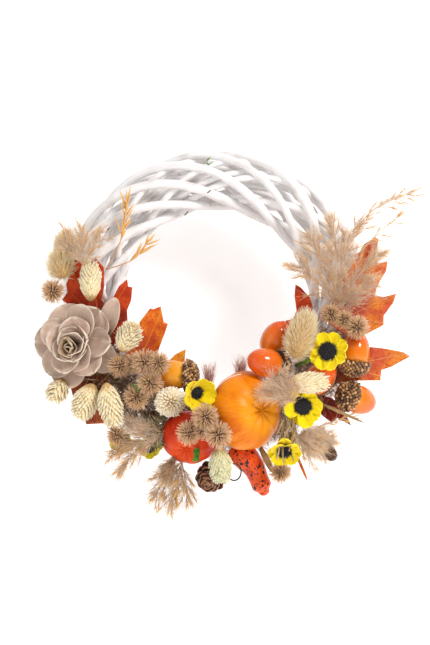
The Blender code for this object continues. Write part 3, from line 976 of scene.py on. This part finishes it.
def flowers():
    bloom(1, middle("flower_1"), way(-9, 20, 3), 18.5, 0.2, 8, "yellow_felt", 8.4, ("flower_1",), 0.3)
    bloom(2, middle("flower_2") + Vector((-1.5, 0, 2)) * MM, way(0, 20, -4), 20, 0.25, 8, "yellow_felt", 9.0,
          ("flower_2",), 0.3)
    bloom(3, middle("flower_3"), way(1, 16, -12), 17, 0.35, 8, "yellow_felt", 7.4, ("flower_3",), 0.3)
    bloom(4, middle("flower_4") + Vector((-1.5, 0, 3.5)) * MM, way(9, 15, -4), 21, 0.62, 7, "yellow_felt",
          7.2, ("flower_4",), 0.3)
    bloom(5, place(-88, 13, -131), way(-4, 20, -6), 12.5, 0.3, 7, "faded_yellow_felt", 4.5, ())
    bloom(6, place(-62, 18, -136), way(2, 20, -8), 12.5, 0.4, 7, "faded_yellow_felt", 4.5, ())
    stalk = [place(76, 30, -60), place(84, 40, -56), place(94, 46, -51)]
    keep("flower_stalk", strands([(stalk, [1.6, 2.2, 1.4])], sides=8), "green_sprig", ())


# ---- leaves ----

def leaf_body(lobes, outline, thickness, wave, rng):
    """A leaf of this outline in its own plane, with each face's place along and across its nearest lobe.
    A lobe is (the way it points in degrees, its length)."""
    body = bmesh.new()
    body.faces.new([body.verts.new((right, up, 0)) for right, up in outline])
    body.normal_update()
    bmesh.ops.triangulate(body, faces=body.faces[:])
    for _ in range(5):
        long_edges = [edge for edge in body.edges if edge.calc_length() > LONGEST_LEAF_EDGE]
        if not long_edges:
            break
        bmesh.ops.subdivide_edges(body, edges=long_edges, cuts=1)
        bmesh.ops.triangulate(body, faces=body.faces[:])
        bmesh.ops.beautify_fill(body, faces=body.faces[:], edges=[e for e in body.edges if not e.is_boundary])
    axes = []
    for direction, length in lobes:
        turn = math.radians(direction)
        axes.append((Vector((math.cos(turn), math.sin(turn), 0)), length))

    def nearest(point):
        return max(axes, key=lambda axis: point.dot(axis[0]) - 0.02 * axis[1])

    def along_and_aside(point, lobe):
        return point.dot(lobe[0]), lobe[0].x * point.y - lobe[0].y * point.x

    layer = body.loops.layers.uv.verify()
    for face in body.faces:
        lobe = nearest(face.calc_center_median())
        for corner in face.loops:
            forward, side = along_and_aside(corner.vert.co, lobe)
            corner[layer].uv = (forward / lobe[1], 0.5 + side / 50)
    swing = rng.uniform(0, 6)
    for vertex in body.verts:
        lobe = nearest(vertex.co)
        forward, side = along_and_aside(vertex.co, lobe)
        share = max(0.0, forward / lobe[1])
        fold = 0.14 * abs(side)
        vertex.co.z = (fold + wave * share * share * (1.2 + math.sin(swing + lobe[1]))
                       + 0.5 * math.sin(0.45 * forward + swing) * min(1, abs(side) / 5))
    bmesh.ops.solidify(body, geom=body.faces[:], thickness=thickness)
    bmesh.ops.recalc_face_normals(body, faces=body.faces)
    return body


def leaf(name, centre, lobes, material, outline, lift=0.9, wave=2.0, nodes=None):
    rng = random.Random(len(name) * 7 + len(lobes))
    right, up = centre
    outline = [(corner_right - right, corner_up - up) for corner_right, corner_up in outline]
    body = leaf_body(lobes, outline, LEAF_THICKNESS, wave, rng)
    mesh = stood(body, seat(place(right, lift, up), way(0, 1, 0)))
    keep(name + "_cloth", mesh, material, (name,) if nodes is None else nodes)


def leaves():
    leaf("leaf_left_top", (-110, -22), ((-40, 30), (56, 52), (100, 64), (132, 50), (220, 34)),
         "leaf_red_orange",
         ((-146, 2), (-141, 9), (-142, 17), (-136, 30), (-134, 41), (-121, 36), (-114, 42), (-106, 33),
          (-106, 16), (-108, 2), (-105, -2), (-97, 5), (-92, 15), (-84, 22), (-83, 15), (-79, 14),
          (-80, 2), (-84, -8), (-83, -27), (-98, -42), (-126, -42), (-140, -22), (-138, -4)))
    leaf("leaf_left_inner", (-70, -50), ((-60, 24), (10, 26), (66, 49), (150, 24), (220, 24)),
         "leaf_bright_orange",
         ((-77, -42), (-72, -19), (-62, -6), (-59, -7), (-52, -4), (-49, -19), (-45, -21), (-48, -30),
          (-54, -46), (-58, -64), (-80, -66), (-88, -52)))
    leaf("leaf_left_small", (-46, -70), ((-60, 16), (50, 30), (130, 17), (200, 16)), "leaf_amber",
         ((-44, -56), (-38, -50), (-28, -45), (-29, -56), (-34, -64), (-38, -82), (-56, -84),
          (-54, -66)), 2.2, 1.0)
    leaf("leaf_right_inner", (81, -30), ((-100, 18), (-20, 16), (40, 22), (97, 48), (140, 30)),
         "leaf_red_orange",
         ((77, 17), (82, 14), (91, 4), (94, -8), (94, -32), (76, -38), (71, -28), (67, -18), (75, -16),
          (78, -8), (76, 6)))
    leaf("leaf_right_top", (125, -15), ((-8, 40), (26, 52), (50, 68), (70, 84), (150, 12), (220, 20)),
         "leaf_salmon",
         ((142, 55), (150, 60), (153, 62), (156, 60), (155, 52), (153, 46), (155, 37), (165, 39), (164, 30),
          (159, 22), (155, 15), (153, 6), (162, 5), (173, 8), (170, -1), (161, -13), (161, -22), (146, -30),
          (124, -32), (108, -20), (112, -2), (120, 20), (134, 40)))
    leaf("leaf_right_low", (122, -62), ((-50, 20), (-14, 44), (12, 64), (60, 22), (180, 22)), "leaf_salmon",
         ((134, -42), (149, -43), (159, -44), (171, -46), (180, -48), (186, -52), (177, -57), (168, -62),
          (159, -65), (158, -75), (137, -75), (112, -78), (108, -58), (118, -44)), 2.2)
    leaf("leaf_right_dark", (105, -99), ((-100, 20), (-52, 27), (-8, 25), (60, 16), (170, 18)),
         "leaf_dark_red",
         ((99, -88), (112, -92), (119, -97), (124, -105), (130, -118), (117, -111), (112, -116),
          (103, -109), (94, -100)))
    leaf("leaf_left_dark", (-118, -82), ((-80, 36), (-160, 24), (-20, 18), (60, 20)), "leaf_brown_orange",
         ((-141, -64), (-139, -78), (-136, -90), (-130, -84), (-128, -100), (-123, -117), (-104, -116),
          (-100, -98), (-100, -70), (-118, -58)), 1.4, 1.0, ())


# ---- cream heads ----

def husk_head(index, axis, radius, half_length, finish="cream_husk", nodes=None, centre=None, count=190,
              spread=0.5):
    """A dried grass head: pointed husks that overlap from the foot to the tip."""
    rng = random.Random(500 + index)
    stand = seat(centre or middle(f"cream_head_{index}"), axis)
    husk = store(petal(8.2, 1.6, 0.5, 0.03, 0.35, 0.5, 0.0, 0.45, 4, 3))
    core = stood(egg(radius * 0.72, half_length * 0.86, 16, 12), stand)
    keep(f"head_core_{index}", core, "straw_heart", ())
    parts = []
    for step in range(count):
        height = -0.93 + 1.8 * (step + 0.5) / count
        ring = math.sqrt(max(0.0, 1 - height * height)) * (1 - 0.15 * height)
        lean = math.radians(90) - spread * (1 - 0.45 * (height + 1) / 2) + rng.uniform(-0.12, 0.12)
        size = rng.uniform(0.8, 1.15) * (0.75 + 0.25 * ring)
        out = radius * 0.68 * ring
        turn = GOLDEN_ANGLE * step
        matrix = stand @ hung(lean, turn, out, half_length * 0.82 * height) @ Matrix.Scale(size, 4)
        parts.append((husk, matrix))
    nodes = (f"cream_head_{index}",) if nodes is None else nodes
    keep(f"head_husks_{index}", gather(parts), finish, nodes)


def tail_head(index, axis, radius, half_length, count, nodes=None, centre=None, lean=0.42):
    """A bunny tail: a soft oval covered with fine hairs that lean towards the tip."""
    rng = random.Random(600 + index)
    stand = seat(centre or middle(f"cream_head_{index}"), axis)
    core = stood(egg(radius * 0.74, half_length * 0.8, 20, 14, 0.12), stand)
    keep(f"tail_core_{index}", core, "straw_heart", ())
    lines = []
    turnings = stand.to_3x3()
    for step in range(count):
        direction = sphere_way(step, count)
        root = Vector((direction.x * radius * 0.66, direction.y * radius * 0.66,
                       direction.z * half_length * 0.76))
        sway = shaken(rng, 0.2, 0.2, 0) + Vector((0, 0, lean))
        push = (direction * (1 - lean) + sway).normalized()
        world_way = (turnings @ push).normalized()
        droop = (turnings @ Vector((0, 0, 0.25))).normalized() * 0.2
        length = TAIL_HAIR_LENGTH * rng.uniform(0.6, 1.1)
        lines.append(hair(stand @ root, world_way, length, 0.34, droop, 4, 0.3))
    nodes = (f"cream_head_{index}",) if nodes is None else nodes
    keep(f"tail_hairs_{index}", strands(lines), "bunny_tail_hair", nodes)


def pompon():
    rng = random.Random(77)
    stand = seat(middle("cream_head_6"), way(-1, 20, -1))
    keep("pompon_core", stood(egg(7.5, 7, 20, 14), stand), "straw_heart", ())
    lines = []
    turnings = stand.to_3x3()
    for step in range(POMPON_STRAWS):
        direction = sphere_way(step, POMPON_STRAWS)
        world_way = (turnings @ direction).normalized()
        root = stand @ (direction * 5.0)
        reach = 9.4 + rng.uniform(-1.3, 0.9) - (1.0 if direction.z > 0.9 else 0)
        tip = root + world_way * reach * MM
        lines.append(([root, tip, tip + world_way * 0.4 * MM], [0.5, 1.05, 0.4]))
    keep("pompon_straws", strands(lines), "straw_pompon", ("cream_head_6",), flat=True)


def cream_heads():
    husk_head(1, way(0, 4, 20), 11, 21)
    tail_head(2, way(-3, 5, 16), 12.5, 14, 700, centre=place(-146, 8, 34))
    tail_head(11, way(1, 3, 18), 11, 12, 600, (), place(-142, 4, 52), 0.5)
    husk_head(3, way(9, 8, 16), 12, 16, spread=0.65)
    husk_head(4, way(-6, 3, -16), 13.5, 19, spread=0.6, count=170)
    husk_head(5, way(4, 3, -20), 12, 24, spread=0.6)
    pompon()
    husk_head(7, way(1, 3, -18), 11.5, 18, "green_husk")
    tail_head(8, way(6, 1, 20), 13.5, 25, 1100)
    husk_head(9, way(20, 5, 1), 11.5, 21, spread=0.4)
    husk_head(10, way(-5, 4, -10), 10, 12, "cream_husk", (), place(-148, 13, -82), 90, 0.7)


# ---- burrs ----

def burr_lines(rng, centre, radius, count):
    lines = []
    for step in range(count):
        direction = sphere_way(step, count)
        push = (direction + shaken(rng, 1, 1, 1) * 0.3).normalized()
        root = centre + direction * radius * 0.45 * MM
        reach = radius * rng.uniform(0.42, 0.66)
        lines.append(hair(root, push, reach, BURR_SPINE_RADIUS, None, 3, 0.35))
    return lines


def burr_sprig(name, burrs, nodes):
    """Spiny seed burrs, each given as (right, lift, up, radius)."""
    rng = random.Random(len(name) + len(burrs))
    lines = []
    hearts = []
    for right, lift, up, radius in burrs:
        centre = place(right, lift, up)
        lines += burr_lines(rng, centre, radius, int(BURR_SPINES * (radius / 11) ** 2))
        hearts.append((store(egg(radius * 0.5, radius * 0.5, 14, 10)), seat(centre, way(0, 1, 0))))
    keep(name + "_hearts", gather(hearts), "burr_heart", ())
    keep(name + "_spines", strands(lines), "burr_spine", nodes)


def burrs():
    burr_sprig("left_burrs", ((-90, 23, -60, 12), (-76, 25, -58, 11), (-66, 34, -57, 13), (-53, 36, -58, 12),
                              (-61, 36, -76, 13), (-74, 29, -90, 13)), ("burrs_left",))
    burr_sprig("middle_burrs", ((-24, 59, -121, 12), (-12, 61, -119, 9), (-9, 66, -106, 13),
                                (3, 70, -122, 13)), ("burrs_middle",))
    burr_sprig("right_burrs", ((109, 25, -12, 11), (121, 30, -17, 10), (133, 36, -24, 12)), ("burrs_right",))
    burr_sprig("single_burrs", ((-154, 12, 10, 12), (-92, 19, -126, 11), (62, 21, -161, 11)), ())


# ---- plumes and fillers ----

def plume(name, stems, nodes, spread=0.8, fan=0.75, finish="plume_hair", hair_radius=0.15):
    """A reed plume: branches leave each stem, and carry fine hairs and pointed golden spikelets.
    Each stem is (stations, branches, hairs, spikelets); a station is (right, lift, up, branch length)."""
    rng = random.Random(len(name) * 13)
    lines = []
    golden = []
    for stations, branches, hairs, grains in stems:
        spots = [place(*station[:3]) for station in stations]
        reaches = [station[3] for station in stations]
        count = len(spots) - 1
        lines.append(softened(spots, [0.7 - 0.4 * step / count for step in range(count + 1)], 4))
        for step in range(branches):
            share = (step + rng.random()) / branches * 0.98 * count
            index = min(int(share), count - 1)
            root = spots[index].lerp(spots[index + 1], share - index)
            reach = reaches[index] + (reaches[index + 1] - reaches[index]) * (share - index)
            forward = (spots[index + 1] - spots[index]).normalized()
            side = forward.orthogonal().normalized()
            turn = GOLDEN_ANGLE * step + rng.uniform(-0.5, 0.5)
            out = side * math.cos(turn) + forward.cross(side) * math.sin(turn)
            out.y = out.y * 0.5 - 0.1
            angle = rng.uniform(0.2, 1) * spread
            push = (forward * math.cos(angle) + out * math.sin(angle)).normalized()
            length = reach * rng.uniform(0.7, 1.15)
            droop = shaken(rng, 0.12, 0.1, (-0.25, 0.05))
            lines.append(hair(root, push, length, 0.17, droop, 5, 0.5))
            for _ in range(hairs):
                at = rng.uniform(0.0, 1.05)
                start = root + (push * at + droop * at * at) * length * MM
                spray = shaken(rng, 1, (-0.8, 0.6), 1) * fan
                lines.append(hair(start, (push + spray).normalized(), rng.uniform(5, 12), hair_radius,
                                  shaken(rng, 0.25, 0, (-0.25, 0.2)), 4, 0.4))
            for _ in range(grains):
                start = root + (push + droop) * length * rng.uniform(0.6, 1.0) * MM
                spray = shaken(rng, 1, (-0.5, 0.3), 1) * 0.3
                bent = (push + droop + spray).normalized()
                grain = rng.uniform(7, 13)
                golden.append(([start, start + bent * grain * 0.35 * MM, start + bent * grain * MM],
                               [0.2, 0.5, 0.08]))
    keep(name + "_hairs", strands(lines), finish, nodes)
    if golden:
        keep(name + "_spikelets", strands(golden), "golden_spikelet", ())


def oat_sprig(name, stem, count, nodes=()):
    """A thin stem with a fan of long golden spikelets at its end."""
    rng = random.Random(len(name))
    spots = [place(*spot) for spot in stem]
    line = softened(spots, [0.5] * len(spots), 4)
    lines = [line]
    points = line[0][len(line[0]) // 3:-5]
    for step in range(count):
        root = points[int(step / count * len(points))]
        forward = (spots[-1] - spots[-2]).normalized()
        push = (forward + shaken(rng, 0.45, (-0.3, 0.1), (-0.35, 0.45))).normalized()
        grain = rng.uniform(12, 19)
        bend = shaken(rng, 0.1, 0, 0.1)
        shape = [root + (push * at + bend * at * at) * grain * MM for at in (0, 0.25, 0.5, 0.75, 1)]
        lines.append((shape, [0.25, 0.7, 0.95, 0.65, 0.08]))
    keep(name, strands(lines), "golden_spikelet", nodes)


def fuzzy_tail():
    rng = random.Random(52)
    base = place(96, 22, -130)
    forward = way(18, 2, -19)
    side = forward.orthogonal().normalized()
    other = forward.cross(side)
    lines = []
    for step in range(620):
        turn = GOLDEN_ANGLE * step
        out = math.sqrt((step + 0.5) / 620)
        across = side * math.cos(turn) * out + other * math.sin(turn) * out
        reach = 26 - 9 * out * out + rng.uniform(-1.5, 1)
        push = (forward + across * 0.42).normalized()
        lines.append(hair(base + across * 2.6 * MM, push, reach, 0.32, -across * 0.14, 5, 0.4))
    keep("fuzzy_tail", strands(lines), "brown_tail_hair", ())


def plumes():
    root = (119, 15, -6, 18)
    plume("right_plume", (
        ((root, (120, 18, 18, 24), (121, 19, 38, 20), (126, 19, 56, 16), (136, 18, 74, 13)), 30, 34, 1),
        (((130, 18, 66, 10), (149, 17, 86, 15), (169, 16, 97, 13), (186, 15, 103, 9)), 22, 14, 1),
        ((root, (104, 16, 12, 22), (90, 15, 26, 18), (78, 13, 34, 11)), 24, 34, 1),
        ((root, (110, 18, 22, 22), (99, 17, 44, 18), (91, 15, 60, 10)), 26, 34, 1),
        ((root, (116, 18, 34, 20), (114, 17, 60, 14), (110, 16, 76, 8)), 22, 30, 1),
        ((root, (132, 18, 20, 22), (145, 18, 36, 16), (154, 16, 46, 10)), 24, 36, 1),
        (((132, 18, 42, 8), (148, 17, 58, 8), (163, 16, 72, 12), (172, 15, 78, 9)), 9, 8, 2),
        ((root, (130, 17, 6, 18), (144, 16, 14, 14)), 18, 36, 0)), ("plume_right",), 0.85, 0.8)
    plume("left_top_plume", (
        (((-124, 27, 34, 12), (-125, 26, 48, 18), (-125, 23, 62, 14)), 18, 26, 1),
        (((-124, 27, 34, 12), (-134, 24, 50, 16), (-140, 20, 62, 10)), 14, 24, 1),
        (((-124, 27, 34, 12), (-115, 24, 50, 16), (-110, 20, 62, 10)), 14, 24, 1)),
          ("plume_left_top",), 0.7)
    plume("left_low_plume", (
        (((-50, 31, -122, 16), (-66, 27, -119, 18), (-82, 20, -116, 12)), 20, 34, 0),
        (((-50, 31, -124, 16), (-64, 27, -130, 18), (-78, 20, -134, 12)), 16, 34, 1)),
          ("plume_left_low",), 0.95)
    plume("bottom_plume", (
        (((-35, 26, -143, 10), (-40, 28, -151, 13), (-46, 27, -161, 10)), 18, 40, 0),
        (((-31, 31, -150, 16), (-35, 26, -168, 20), (-41, 18, -190, 12)), 20, 28, 2),
        (((-31, 31, -150, 16), (-44, 26, -164, 20), (-56, 17, -182, 12)), 18, 28, 2),
        (((-31, 31, -150, 14), (-28, 26, -168, 16), (-27, 18, -184, 10)), 14, 26, 2)),
          ("plume_bottom",), 0.7, finish="tan_plume_hair")
    plume("centre_plume", (
        (((73, 61, -93, 10), (64, 65, -84, 13), (54, 67, -74, 10)), 20, 26, 0),
        (((73, 61, -93, 10), (60, 65, -88, 13), (47, 66, -84, 8)), 16, 26, 0),
        (((73, 61, -93, 10), (69, 64, -80, 12), (64, 66, -69, 8)), 14, 26, 0)), ("plume_centre",), 0.9)
    plume("right_low_plume", (
        (((74, 38, -126, 11), (86, 34, -125, 11), (98, 27, -124, 7)), 22, 44, 0),
        (((74, 38, -127, 13), (90, 34, -129, 13), (107, 25, -130, 8)), 26, 44, 1),
        (((74, 38, -128, 12), (88, 34, -137, 12), (101, 26, -142, 8)), 22, 40, 1)),
          ("plume_right_low",), 0.9, 0.9, hair_radius=0.18)
    plume("right_low_tips", (
        (((96, 30, -118, 8), (114, 24, -112, 9), (124, 20, -108, 9)), 8, 6, 2),
        (((84, 30, -134, 8), (88, 26, -146, 9), (92, 22, -154, 8)), 7, 6, 1)), (), 0.4)
    plume("hanging_plume", (
        (((-62, 28, -130, 14), (-76, 24, -142, 16), (-88, 18, -158, 10)), 16, 24, 2),
        (((-62, 28, -130, 14), (-80, 24, -134, 16), (-94, 18, -144, 10)), 14, 24, 2)), (), 0.7,
          finish="tan_plume_hair")
    oat_sprig("golden_oats_one", ((-104, 5, 32), (-94, 6, 50), (-87, 7, 68), (-85, 7, 92)), 24,
              ("golden_sprig",))
    oat_sprig("golden_oats_two", ((-104, 6, 31), (-88, 7, 36), (-76, 8, 42), (-66, 7, 54)), 18)
    fuzzy_tail()


def tufts():
    """Two soft pinkish tufts that show between the pumpkins' tops."""
    rng = random.Random(91)
    for index, (right, lift, up) in enumerate(((-6, 22, -82), (24, 12, -76))):
        lines = []
        base = place(right, lift, up)
        for _ in range(110):
            push = Vector((rng.uniform(-0.42, 0.36), rng.uniform(-0.3, 0.3), 1)).normalized()
            root = base + shaken(rng, 3, 2, (0, 8)) * MM
            lines.append(hair(root, push, rng.uniform(10, 22), 0.32, None, 3, 0.3))
        keep(f"pink_tuft_{index + 1}", strands(lines), "pink_tuft_hair", ())


def bracts():
    """Thin twisted dried bracts over the lower flower."""
    rng = random.Random(44)
    parts = []
    for step in range(56):
        right = 61 + 14 * step / 55 + rng.uniform(-2, 2)
        length = rng.uniform(12, 27)
        half_width = rng.uniform(0.45, 1.15)
        shape = petal(length, half_width, 0.6, rng.uniform(-0.15, 0.12), 0.4, 0.5, 0.0, 0.35, 7, 3)
        turn = math.radians(rng.uniform(-208, -156))
        spot = place(right, 49 + rng.uniform(-7, 6), rng.uniform(-128, -106))
        twist = Matrix.Rotation(rng.uniform(-1, 1), 4, "Y")
        parts.append((store(shape), seat(spot, way(0, 1, 0)) @ hung(rng.uniform(-0.3, 0.3), turn) @ twist))
    keep("dried_bracts", gather(parts), "papery_bract", ())


def small_leaves():
    """A dry twisted leaf by the capped acorn, a dry blade by the gourd, a sliver below the flower."""
    strips = (
        ("twisted_leaf", "papery_bract", (46, 1.5, 0.8, 0.1, 0.35, 0.4, 0.0, 0.4, 14, 4, 0.45),
         (98, 27, -95), 0.05, -114),
        ("dry_blade", "papery_bract", (27, 3.2, 0.8, 0.05, 0.45, 0.5, 0.0, 0.5, 10, 4, 0.3),
         (43, 14, -138), 0.05, -153),
        ("orange_sliver", "leaf_bright_orange", (31, 1.4, 0.4, 0.03, 0.5, 0.6, 0.0, 0.4, 8, 3),
         (75, 22, -140), 0.0, -157),
    )
    for name, material, sizes, spot, lean, turn in strips:
        stand = seat(place(*spot), way(0, 1, 0)) @ hung(lean, math.radians(turn))
        keep(name, stood(petal(*sizes), stand), material, ())


def filler():
    """Moss and dried hairs pushed in between the decorations."""
    rng = random.Random(8)
    lines = []
    for _ in range(MOSS_HAIRS):
        angle = math.radians(rng.uniform(104, 258))
        out = RING_RADIUS + rng.uniform(-18, 20)
        root = place(out * math.sin(angle), rng.uniform(-8, 8), out * math.cos(angle))
        push = shaken(rng, 1, (-0.2, -1.2), 1).normalized()
        droop = shaken(rng, 0.4, 0, 0.4)
        lines.append(hair(root, push, rng.uniform(9, 18), 0.5, droop, 4, 0.3))
    keep("moss_filler", strands(lines), "filler_moss", ())


def small_extras():
    """A glue thread, wire, green bits and grey florets."""
    pumpkin = middle("pumpkin_orange")
    thread = []
    for step in range(13):
        turn = math.radians(-72 + 64 * step / 12)
        thread.append(pumpkin + way(34.5 * math.sin(turn), 18, 34.5 * math.cos(turn)) * 39.6 * MM)
    keep("glue_thread", strands([(thread, [0.32] * 13)], sides=6), "glue_thread", ())
    curl = []
    for step in range(25):
        turn = math.tau * 0.86 * step / 24
        curl.append(place(18 + 6.5 * math.sin(turn), 28, -160 + 8 * math.cos(turn)))
    keep("wire_curl", strands([(curl, [0.7] * 25)], sides=6), "dark_wire_steel", ())
    ends = []
    for right, lift, up, slope in ((-6, -4, 106, 0.8), (-28, -17, 86, 1.0), (-103, -1, 69, 1.2)):
        foot = place(right - 1.5, lift - 2, up - 1.5 * slope)
        ends.append(([foot, place(right + 2, lift + 1, up + 2 * slope)], [0.55, 0.5]))
    keep("wire_ends", strands(ends, sides=6), "dark_wire_steel", ())
    rng = random.Random(3)
    lines = []
    for right, lift, up in ((-76, 36, -80), (-72, 37, -83), (-50, 22, -122), (-8, -5, 136), (-6, -4, 132)):
        for _ in range(6):
            push = Vector((rng.uniform(-1, 1), -0.5, rng.uniform(0, 1))).normalized()
            lines.append(hair(place(right, lift, up), push, rng.uniform(4, 7), 0.5, None, 3, 0.2))
    keep("green_bits", strands(lines), "green_sprig", ())
    lines = []
    for _ in range(160):
        root = place(rng.uniform(-62, -48), rng.uniform(22, 30), rng.uniform(-138, -108))
        push = shaken(rng, 1, (-0.3, -1), 1).normalized()
        lines.append(hair(root, push, rng.uniform(4, 8), 0.6, None, 3, 0.5))
    keep("grey_florets", strands(lines), "grey_floret", ())


def set_view():
    bpy.context.scene.view_settings.view_transform = "Standard"
    bpy.context.scene.view_settings.look = "None"


add_camera()
add_stage()
set_view()
make_materials()
willow_ring()
pumpkins()
cone()
acorns()
rose()
flowers()
leaves()
cream_heads()
burrs()
plumes()
tufts()
bracts()
small_leaves()
filler()
small_extras()
